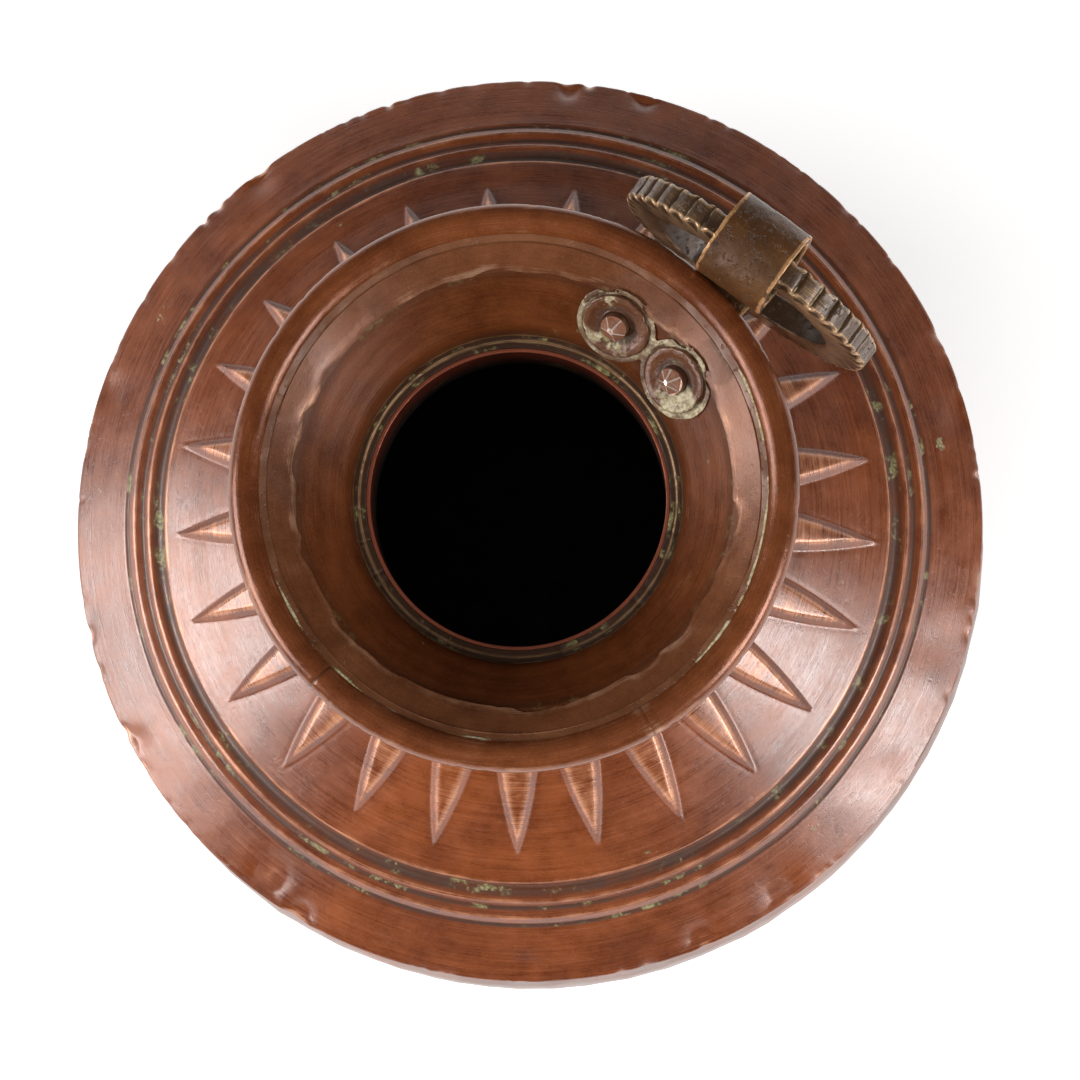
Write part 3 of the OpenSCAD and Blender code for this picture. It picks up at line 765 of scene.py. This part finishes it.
def rim_moulding():
    cols = 1000
    open_from, open_to = 157, 206
    line = round_bead(bead_r, open_from, open_to - 360, 48)
    line += round_bead(roll_r, open_to - 360, open_from, 34)
    line = outline(line, 0.3 * MM, 0.8 * MM)[::-1]
    grid = spin(line, cols)
    turns = turn_of(grid)
    outer = np.hypot(radius_of(grid) - bead_x, grid[..., 2] - bead_z) > bead_r - 0.45 * MM
    joint = np.maximum(bump_at(turn_gap(turns, 181), 0.28), 0.6 * bump_at(turn_gap(turns, 256), 0.22))
    flats = 0.22 * (1 - waves(grid, 24 * MM, 61)) + 0.05 * (1 - waves(grid, 7 * MM, 62))
    chips = nicks(turns, 13, 40, (0.3, 1.2), (0.05, 0.35)) * bump_at(grid[..., 2] - bead_z, 2.5 * MM)
    grid = grid - facing(grid) * ((flats + 0.3 * joint + chips) * MM * outer)[..., None]
    marks = {"wear_and_highlight": (0.3 * bump_at(grid[..., 2] - (bead_z + 0.6 * bead_r), 1.6 * MM) + 0.5 * chips
                      + 0.25 * bump_at(turn_gap(turns, 256) - 1, 1.2)) * outer,
             "grime_and_shade": 0.9 * joint + 0.4 * (1 - outer) + 0.35 * (grid[..., 2] < bead_z - 0.6 * bead_r)}
    finish = copper("bead_copper", (92, 44, 20), (148, 82, 44), (196, 150, 120), rough=0.24, brushed=0.8,
                    gloss=0.5, green=0.5, metallic=0.28)
    finish_piece(turned("rim_bead", grid, marks, 60), "rim_moulding", finish)


def rim_solder():
    """The ragged line of solder between the collar and the bead."""
    cols = 720
    start = knee_r + COLLAR_W
    touch_r, touch_z = round_bead(bead_r, 150, 150, 1)[0]
    touch_r += 0.6 * MM
    corners = [on_flange(start - 0.1 * MM, -COLLAR_T), on_flange(start),
               on_flange(bead_x - roll_r + 0.6 * MM), (touch_r, touch_z - 1 * MM), (touch_r, touch_z)]
    line = outline(corners, 0.3 * MM, 0.5 * MM)
    if np.sum(line[:, 0] * np.roll(line[:, 1], -1) - np.roll(line[:, 0], -1) * line[:, 1]) < 0:
        line = line[::-1]
    grid = spin(line, cols)
    out = facing(grid)
    top = out[..., 2] > 0.25
    lumps = 0.3 * waves(grid, 5 * MM, 71) + 0.25 * waves(grid, 14 * MM, 72) - 0.35
    grid = grid + out * (lumps * MM * top)[..., None]
    pale = fade(waves(grid, 34 * MM, 73) + 0.5 * waves(grid, 8 * MM, 74), -0.1, 0.5)
    thin = bump_at(radius_of(grid) - (touch_r - 0.7 * MM), 0.55 * MM)
    marks = {"wear_and_highlight": 0.2 * top, "grime_and_shade": 0.3 * (1 - pale) * thin, "solder": pale * thin}
    finish = copper("seam_solder", (90, 50, 26), (136, 84, 50), (180, 140, 110), rough=0.42, brushed=0.2,
                    green=0.8, metallic=0.15, pits=0.8, solder=(150, 142, 92), relief=2)
    finish_piece(turned("rim_solder_line", grid, marks), "rim_solder", finish)


def neck():
    """The sleeve in the neck and the three fine rings at its mouth."""
    cols = 720
    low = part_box("neck_sleeve")[0].z
    sleeve = spin(outline([(bore_r, low), (sleeve_out_r, low), (sleeve_out_r, lip_z), (bore_r, lip_z)],
                          0.35 * MM, 1.2 * MM), cols)
    wobble = 0.2 * MM * (1 + waves(sleeve, 30 * MM, 81)) / 2
    outward = sleeve * np.array([1, 1, 0]) / radius_of(sleeve)[..., None]
    sleeve = sleeve + outward * (wobble * (radius_of(sleeve) < bore_r + 0.6 * MM))[..., None]
    shine = bump_at(sleeve[..., 2] - lip_z, 1.1 * MM)
    # Painted shade down the bore: darker with depth, then near black, standing in for the shade inside the
    # neck
    marks = {"wear_and_highlight": 0.8 * shine, "grime_and_shade": 0.9 * (1 - fade(sleeve[..., 2], low, lip_z - 3 * MM)),
             "inside": 1 - fade(sleeve[..., 2], low, lip_z - 5 * MM)}
    finish = copper("sleeve_copper", (66, 26, 16), (112, 48, 32), (168, 92, 66), rough=0.42, green=0.4,
                    metallic=0.25)
    finish_piece(turned("neck_sleeve_wall", sleeve, marks), "neck_sleeve", finish)

    lo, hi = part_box("neck_lip")
    tread = (hi.z - lip_z) / 2
    middle = (sleeve_out_r + stub_r) / 2
    corners = [(sleeve_out_r, lo.z), (stub_r, lo.z), (stub_r, hi.z), (middle, hi.z), (middle, hi.z - tread),
               (sleeve_out_r, hi.z - tread)]
    grid = spin(outline(corners, 0.35 * MM, 0.6 * MM), cols)
    turns = turn_of(grid)
    top = facing(grid)[..., 2] > 0.4
    chips = nicks(turns, 15, 60, (0.5, 2.0), (0.05, 0.3))
    grid[..., 2] -= (0.12 * (1 + waves(grid, 9 * MM, 82)) + chips) * MM * top
    rings = bump_at(radius_of(grid) - stub_r, 0.5 * MM) + bump_at(radius_of(grid) - middle, 0.5 * MM)
    marks = {"wear_and_highlight": 0.75 * rings * top, "grime_and_shade": 0.8 * (1 - np.clip(rings, 0, 1))}
    finish = copper("lip_copper", (58, 34, 20), (104, 66, 40), (176, 140, 100), rough=0.42, green=1.0,
                    metallic=0.25)
    finish_piece(turned("neck_rings", grid, marks), "neck_lip", finish)


# ---- rivets, washers and their solder
def washer(name, node, side, seed):
    cols = 160
    flat = WASHER_FLAT
    rise = SEAT_GAP + WASHER_DISH
    corners = [(SHANK_R, SEAT_GAP), (flat, SEAT_GAP), (WASHER_R, rise), (WASHER_R, rise + WASHER_T),
               (WASHER_R - 2.2 * MM, rise + WASHER_T - 0.1 * MM),
               (flat + 1.4 * MM, SEAT_GAP + WASHER_T + 0.25 * MM),
               (flat, SEAT_GAP + WASHER_T), (SHANK_R, SEAT_GAP + WASHER_T - 0.3 * MM)]
    grid = spin(outline(corners, 0.6 * MM, 0.4 * MM), cols)
    r, turns = radius_of(grid), turn_of(grid)
    out = facing(grid)
    circle = grid * np.array([1, 1, 0]) / r[..., None]
    pull = 0.35 * (1 + waves(circle, 0.8, seed)) + nicks(turns, seed, 9, (4, 10), (0.1, 0.5))
    pull = pull * bump_at(WASHER_R - r, 2.4 * MM)
    rough = 0.12 * waves(grid, 2.2 * MM, seed + 1) + 0.07 * waves(grid, 0.9 * MM, seed + 2) - 0.12
    top = out[..., 2] > 0.2
    rough = rough * top * (r > flat - 0.6 * MM)
    grid = grid - circle * (pull * MM)[..., None] + out * (rough * MM)[..., None]
    rim = bump_at(r - (WASHER_R - 1.0 * MM), 1.0 * MM)
    # A dark ring round the shank at the bottom of the dish: painted shade for the shank's shadow in the
    # hollow; the scattered dark patches are dirt
    shade_round_shank = bump_at(r - flat, 1.3 * MM)
    marks = {"wear_and_highlight": (0.22 * rim * (0.5 + 0.5 * waves(grid, 9 * MM, seed + 5)) + 0.1) * top,
             "grime_and_shade": (0.7 * shade_round_shank + 0.25 * (waves(grid, 5 * MM, seed + 3) > 0.2)) * top,
             "solder": 0.75 * fade(waves(grid, 7 * MM, seed + 4), -0.2, 0.6) * top}
    return turned(name, moved(grid, at_rivet(side)), marks), node


def rivet(name, node, side, seed, facets, lean):
    """A round shank whose end was hammered to a blunt point of flat facets, and its head behind."""
    cols = 144
    end_rows = 44
    top = SEAT_GAP + WASHER_T + SHANK_OUT
    seat = SHEET + FOOT_T - HEAD_R * math.tan(MOUTH_SLOPE - RIVET_SLOPE)
    line = [(0, -seat - HEAD_H), (HEAD_R - HEAD_H, -seat - HEAD_H), (HEAD_R - 0.2 * MM, -seat - 0.2 * MM),
            (HEAD_R - 0.4 * MM, -seat), (SHANK_R, -seat)]
    line += [(SHANK_R, z) for z in np.linspace(-seat + 0.5 * MM, top - POINT_H - 0.4 * MM, 14)]
    line += [(r, top) for r in np.linspace(SHANK_R, 0, end_rows)]
    grid = spin(np.array(line), cols)
    end = np.zeros(len(line))
    end[-end_rows:] = 1
    x, y = grid[..., 0], grid[..., 1]
    random = np.random.default_rng(seed)
    planes = [top - 0.1 * MM - 0.12 * x - 0.1 * y]
    for k in range(facets):
        a = TURN * (k + random.uniform(-0.16, 0.16)) / facets + lean
        steep = random.uniform(0.7, 1.0)
        offset = random.uniform(0.1, 0.9) * MM
        planes.append(top - steep * (x * math.cos(a) + y * math.sin(a) - offset))
    lowest, second = np.sort(np.array(planes), 0)[:2]
    ceiling = np.maximum(lowest, top - POINT_H - 0.35 * MM)
    # ridge: 1 along the edges between facets, where a painted highlight goes
    ridge = bump_at(second - lowest, 0.16 * MM) * end[:, None]
    grid[..., 2] = np.where(end[:, None] > 0, ceiling, grid[..., 2])
    above = grid[..., 2] - SEAT_GAP - WASHER_T
    squeeze = 0.25 * MM * (1 + waves(grid, 4 * MM, seed)) / 2
    spread = 1 - squeeze / np.maximum(radius_of(grid), 1 * MM) * (above > 0.3 * MM)
    grid[..., 0] *= spread
    grid[..., 1] *= spread
    bright = fade(grid[..., 2], top - POINT_H - 1.2 * MM, top - POINT_H + 0.2 * MM)
    # The hammered end takes the rubbed tone with painted highlights on its facet edges; the shank's foot just
    # above the washer is darkened, a painted shade
    marks = {"wear_and_highlight": (0.3 + 0.7 * ridge) * bright, "grime_and_shade": 0.8 * (1 - bright) * (above < 1.6 * MM)}
    return turned(name, moved(grid, at_rivet(side)), marks, 16), node


def rivets():
    # The rivets' near-white rubbed tone also serves as the painted highlight on their facet edges
    pale = copper("rivet_copper", (128, 74, 50), (182, 126, 98), (255, 232, 216), rough=0.24, brushed=0.1,
                  gloss=1.0, green=0.4, metallic=0.30)
    brown = copper("washer_copper", (78, 42, 24), (132, 84, 54), (196, 128, 90), rough=0.4, brushed=0.15,
                   green=0.8, metallic=0.15, pits=1.2, solder=(152, 138, 100), relief=2)
    for thing, node in (rivet("rivet_end_left", "rivet_left", 1, 91, 5, 0.4),
                        rivet("rivet_end_right", "rivet_right", -1, 92, 6, 0.1)):
        finish_piece(thing, node, pale)
    for thing, node in (washer("dished_washer_left", "washer_left", 1, 101),
                        washer("dished_washer_right", "washer_right", -1, 111)):
        finish_piece(thing, node, brown)


def remade(node, name, voxel, smooth, roughen, seed):
    """A CAD node's shape as one even mesh, its edges softened and its faces roughened."""
    source = frame["nodes"][node]
    shape = source.data.copy()
    thing = placed(name, shape)
    thing.matrix_world = source.matrix_world.copy()
    weld(shape)
    shape.materials.clear()
    remesh = thing.modifiers.new("even", "REMESH")
    remesh.mode, remesh.voxel_size, remesh.use_smooth_shade = "VOXEL", voxel, True
    soften = thing.modifiers.new("soften", "SMOOTH")
    soften.factor, soften.iterations = 0.5, smooth
    bpy.context.view_layer.update()
    view = thing.evaluated_get(bpy.context.evaluated_depsgraph_get())
    mesh = bpy.data.meshes.new_from_object(view)
    thing.modifiers.clear()
    thing.data = mesh
    count = len(mesh.vertices)
    points, out = np.empty(count * 3), np.empty(count * 3)
    mesh.vertices.foreach_get("co", points)
    mesh.vertices.foreach_get("normal", out)
    points, out = points.reshape(-1, 3), out.reshape(-1, 3)
    bumps = sum(size * (waves(points, scale * MM, seed + k) - 1) / 2
                for k, (scale, size) in enumerate(roughen))
    points = points + out * (bumps * MM)[:, None]
    mesh.vertices.foreach_set("co", points.ravel())
    mesh.shade_smooth()
    mesh.update()
    return thing, points, out


def convexity(mesh, points, out, reach):
    """How far each point stands out from its neighbours: edges are high, corners in hollows low."""
    ends = np.empty(len(mesh.edges) * 2, np.int32)
    mesh.edges.foreach_get("vertices", ends)
    a, b = ends.reshape(-1, 2).T
    bend = np.zeros(len(points))
    count = np.zeros(len(points))
    slope = np.einsum("ij,ij->i", out[a] - out[b], points[a] - points[b])
    slope = slope / np.maximum(np.einsum("ij,ij->i", points[a] - points[b], points[a] - points[b]), 1e-12)
    for end in (a, b):
        np.add.at(bend, end, slope)
        np.add.at(count, end, 1)
    bend = bend / np.maximum(count, 1)
    for _ in range(reach):
        total, count = bend.copy(), np.ones(len(points))
        np.add.at(total, a, bend[b])
        np.add.at(total, b, bend[a])
        np.add.at(count, a, 1)
        np.add.at(count, b, 1)
        bend = total / count
    return bend * MM


def washer_solder():
    thing, points, _ = remade("washer_solder", "washer_filler", 0.35 * MM, 3, ((4, 0.3), (1.6, 0.2)), 121)
    set_marks(thing.data, {"wear_and_highlight": 0 * points[:, 0], "grime_and_shade": 0.4 * (waves(points, 6 * MM, 123) > 0.15),
                           "solder": 0.45 + 0.5 * waves(points, 7 * MM, 124)}, len(points))
    finish = copper("filler", (96, 68, 48), (140, 108, 80), (180, 160, 130), rough=0.5, brushed=0.1,
                    green=1.0, metallic=0.12, pits=1.2, solder=(156, 138, 104), relief=3)
    finish_piece(thing, "washer_solder", finish)


def handle_lug():
    roughen = ((7, 0.35), (2.4, 0.22), (1.2, 0.1))
    thing, points, out = remade("handle_lug", "barrel_lug", 0.5 * MM, 5, roughen, 131)
    bend = convexity(thing.data, points, out, 3)
    low = 1 - fade(points[:, 2], bead_z, bead_z + 9 * MM)
    top = fade(out[:, 2], 0.2, 0.8)
    crust = 0.7 * top * (waves(points, 9 * MM, 133) > 0.1) + 0.8 * low
    set_marks(thing.data, {"wear_and_highlight": fade(bend, 0.08, 0.3) + 0.12,
                           "grime_and_shade": 0.8 * fade(-bend, 0.03, 0.2) + 0.5 * crust}, len(points))
    finish = copper("lug_bronze", (66, 38, 18), (124, 82, 44), (214, 160, 108), rough=0.38, brushed=0.1,
                    green=0.9, metallic=0.2, pits=1.6, relief=4, gloss=0.6)
    finish_piece(thing, "handle_lug", finish)


# ---- drop ring
def drop_ring():
    """The ring's section swept from one cut end to the other, with its ribs and chip-cut triangles."""
    steps = 900
    inner, outer, half_w = RING_IN_R, ring_r, RING_W / 2
    corners = [(inner, -half_w), (outer, -half_w), (outer, half_w), (inner, half_w)]
    section = outline(corners, 1.1 * MM, 0.55 * MM)
    half_gap = SPLIT_GAP / 2 / ring_r
    sweep = np.linspace(SPLIT_TURN + half_gap, SPLIT_TURN + TURN - half_gap, steps)
    rho, w = section[:, 0][:, None] + 0 * sweep, section[:, 1][:, None] + 0 * sweep
    pitch = TURN / RIBS
    off = ((sweep + pitch / 2) % pitch - pitch / 2) * ring_r    # 0 in the middle of a rib
    groove = bump_at(np.abs(off) - pitch * ring_r / 2, 0.6 * MM)
    outside = fade(rho, outer - 2.2 * MM, outer - 0.5 * MM)
    crown = 0.45 * MM * (2 * off / (pitch * ring_r)) ** 2
    rho = rho - outside * (0.75 * MM * groove + crown)
    side = fade(-w, half_w - 1.3 * MM, half_w - 0.4 * MM)
    far_side = fade(w, half_w - 1.3 * MM, half_w - 0.4 * MM)
    reach = (outer - rho) / (7.5 * MM) + np.abs(off) / (pitch * ring_r / 2)
    chip = np.clip(1 - reach, 0, 1)
    w = w + (side - far_side) * (1.0 * MM * chip + 0.3 * MM * groove * fade(rho, outer - 4 * MM, outer))
    local = polar(rho, sweep, w)
    noise = 0.2 * waves(local, 6 * MM, 141) + 0.12 * waves(local, 2 * MM, 142) - 0.2
    middle = (inner + outer) / 2
    shrink = 1 + noise * MM / (RING_DEPTH / 2)
    rho = middle + (rho - middle) * shrink
    w = w * shrink
    # Each end closes over a small bevel
    rho, w = (np.concatenate([flat[:, :1], full, flat[:, -1:]], 1)
              for full, flat in ((rho, middle + (rho - middle) * 0.9), (w, w * 0.86)))
    all_turns = np.pad(sweep, 1, mode="edge")
    all_turns[1] += 0.5 * MM / ring_r
    all_turns[-2] -= 0.5 * MM / ring_r
    local = polar(rho, all_turns, w).transpose(1, 0, 2)
    # The local frame lies on its side: X points down and Z away from the vessel
    upright = np.stack([local[..., 2], local[..., 1], -local[..., 0]], -1)
    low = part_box("handle_ring")[0].z
    centre = Vector((hinge["pos_m"][0], hinge["pos_m"][1], low + ring_r))
    place = Matrix.Translation(centre) @ Matrix.Rotation(EYE_TURN, 4, "Z")
    points = moved(upright, place)
    rows, cols = points.shape[:2]
    faces = grid_faces(rows, cols, closed_rows=False)
    faces += [list(range(cols))[::-1], list(range((rows - 1) * cols, rows * cols))]
    edge = bump_at(half_w - np.abs(section[:, 1]) - 0.5 * MM, 0.7 * MM)
    edge = edge * bump_at(outer - section[:, 0] - 0.3 * MM, 1.1 * MM)
    grooves, chips, outsides, sides, edges = (
        np.pad(np.broadcast_to(values, (len(section), steps)), [(0, 0), (1, 1)], mode="edge").T
        for values in (groove, chip * np.maximum(side, far_side), outside, side, edge[:, None]))
    ribs = 1 - grooves
    chip_edge = bump_at(chips - 0.05, 0.09) * sides
    wear_and_highlight = 0.8 * edges * ribs + 0.25 * outsides * ribs + 0.6 * chip_edge + 0.05
    grime_and_shade = 0.35 * grooves * outsides + 0.6 * fade(chips, 0.15, 0.6)
    marks = {"wear_and_highlight": wear_and_highlight, "grime_and_shade": grime_and_shade, "solder": 0.75 * bump_at(ribs, 0.25) * outsides}
    thing = make("ribbed_ring", points, faces, marks, 45)
    finish = copper("ring_bronze", (52, 34, 20), (106, 76, 50), (206, 166, 124), rough=0.36, brushed=0.1,
                    green=0.5, metallic=0.2, pits=1.2, relief=3, gloss=0.6, solder=(158, 138, 100))
    finish_piece(thing, "handle_ring", finish, "ring")


# ---- what stays as the CAD made it
def dress(node, material):
    thing = frame["nodes"][node]
    thing.data.materials.clear()
    thing.data.materials.append(material)


def hidden_parts():
    tin = plain_metal("old_tin", (128, 124, 104), (176, 172, 150))
    for node in ("base_solder", "shoulder_solder", "neck_solder"):
        dress(node, tin)
    dress("rim_wire", plain_metal("iron_wire", (58, 52, 48), (92, 78, 66)))


# ---- floor, light and camera
VIEW_TURN = math.radians(-43.9)        # direction of the picture's right-hand side
TILT_UP = math.radians(5.6)
TILT_SIDE = math.radians(-2.04)
CAMERA = Vector((-0.0512, -0.1205, 1.415))
LENS, SENSOR = 121.67, 36              # in millimetres, as Blender counts them
LIT_PLACE = Vector((0, 0, 0.25))       # what the lights aim at
FLOOR_HALF = 4


def camera():
    right = Vector((math.cos(VIEW_TURN), math.sin(VIEW_TURN), 0))
    up = Vector((-math.sin(VIEW_TURN), math.cos(VIEW_TURN), 0))
    ahead = (Vector((0, 0, -1)) + right * math.tan(TILT_SIDE) + up * math.tan(TILT_UP)).normalized()
    side = (right - ahead * right.dot(ahead)).normalized()
    data = bpy.data.cameras.new("camera")
    data.lens, data.sensor_width = LENS, SENSOR
    data.clip_start, data.clip_end = 0.05, 50
    thing = placed("camera", data)
    thing.matrix_world = Matrix.Translation(CAMERA) @ Matrix(
        (side, side.cross(ahead), -ahead)).transposed().to_4x4()
    bpy.context.scene.camera = thing


def soft_box(name, turn, elevation, away, width, height, power, glossy=True):
    """An area light that faces the vessel. turn and elevation say where it stands, in degrees."""
    data = bpy.data.lights.new(name, "AREA")
    data.shape, data.size, data.size_y, data.energy = "RECTANGLE", width, height, power
    thing = placed(name, data)
    a, e = math.radians(turn), math.radians(elevation)
    ray = Vector((math.cos(a) * math.cos(e), math.sin(a) * math.cos(e), math.sin(e)))
    thing.location = LIT_PLACE + away * ray
    thing.rotation_mode = "QUATERNION"
    thing.rotation_quaternion = (LIT_PLACE - thing.location).to_track_quat("-Z", "Y")
    thing.visible_glossy = glossy


def studio():
    soft_box("key_left", 148, 23, 1.5, 1.05, 0.7, 18)
    soft_box("key_right", 289, 22, 1.5, 0.6, 0.65, 11)
    soft_box("overhead", 226, 66, 2.4, 2.2, 2.2, 38, glossy=False)
    world = bpy.data.worlds.new("studio")
    world.use_nodes = True
    sky = world.node_tree.nodes["Background"].inputs
    sky["Color"].default_value = (1, 1, 1, 1)
    sky["Strength"].default_value = 0.06
    bpy.context.scene.world = world
    bpy.context.scene.view_settings.view_transform = "Standard"

    mesh = bpy.data.meshes.new("floor")
    corners = [(x * FLOOR_HALF, y * FLOOR_HALF, 0) for x, y in ((-1, -1), (1, -1), (1, 1), (-1, 1))]
    mesh.from_pydata(corners, [], [(0, 1, 2, 3)])
    floor = placed("floor", mesh)
    s = Shader("floor_paper")
    paper = s.mix(s.between(s.noise(3, 2), 0.4, 0.6), (0.9, 0.9, 0.9, 1), (0.93, 0.93, 0.93, 1))
    s.look("Base Color", paper)
    s.look("Roughness", 0.9)
    s.look("Emission Color", (1, 1, 1, 1))
    s.look("Emission Strength", 0.45)
    mesh.materials.append(s.material)


camera()
studio()
shoulder()
lower_body()
base_plate()
mouth_funnel()
rim_collar()
rim_moulding()
rim_solder()
neck()
rivets()
washer_solder()
handle_lug()
drop_ring()
hidden_parts()
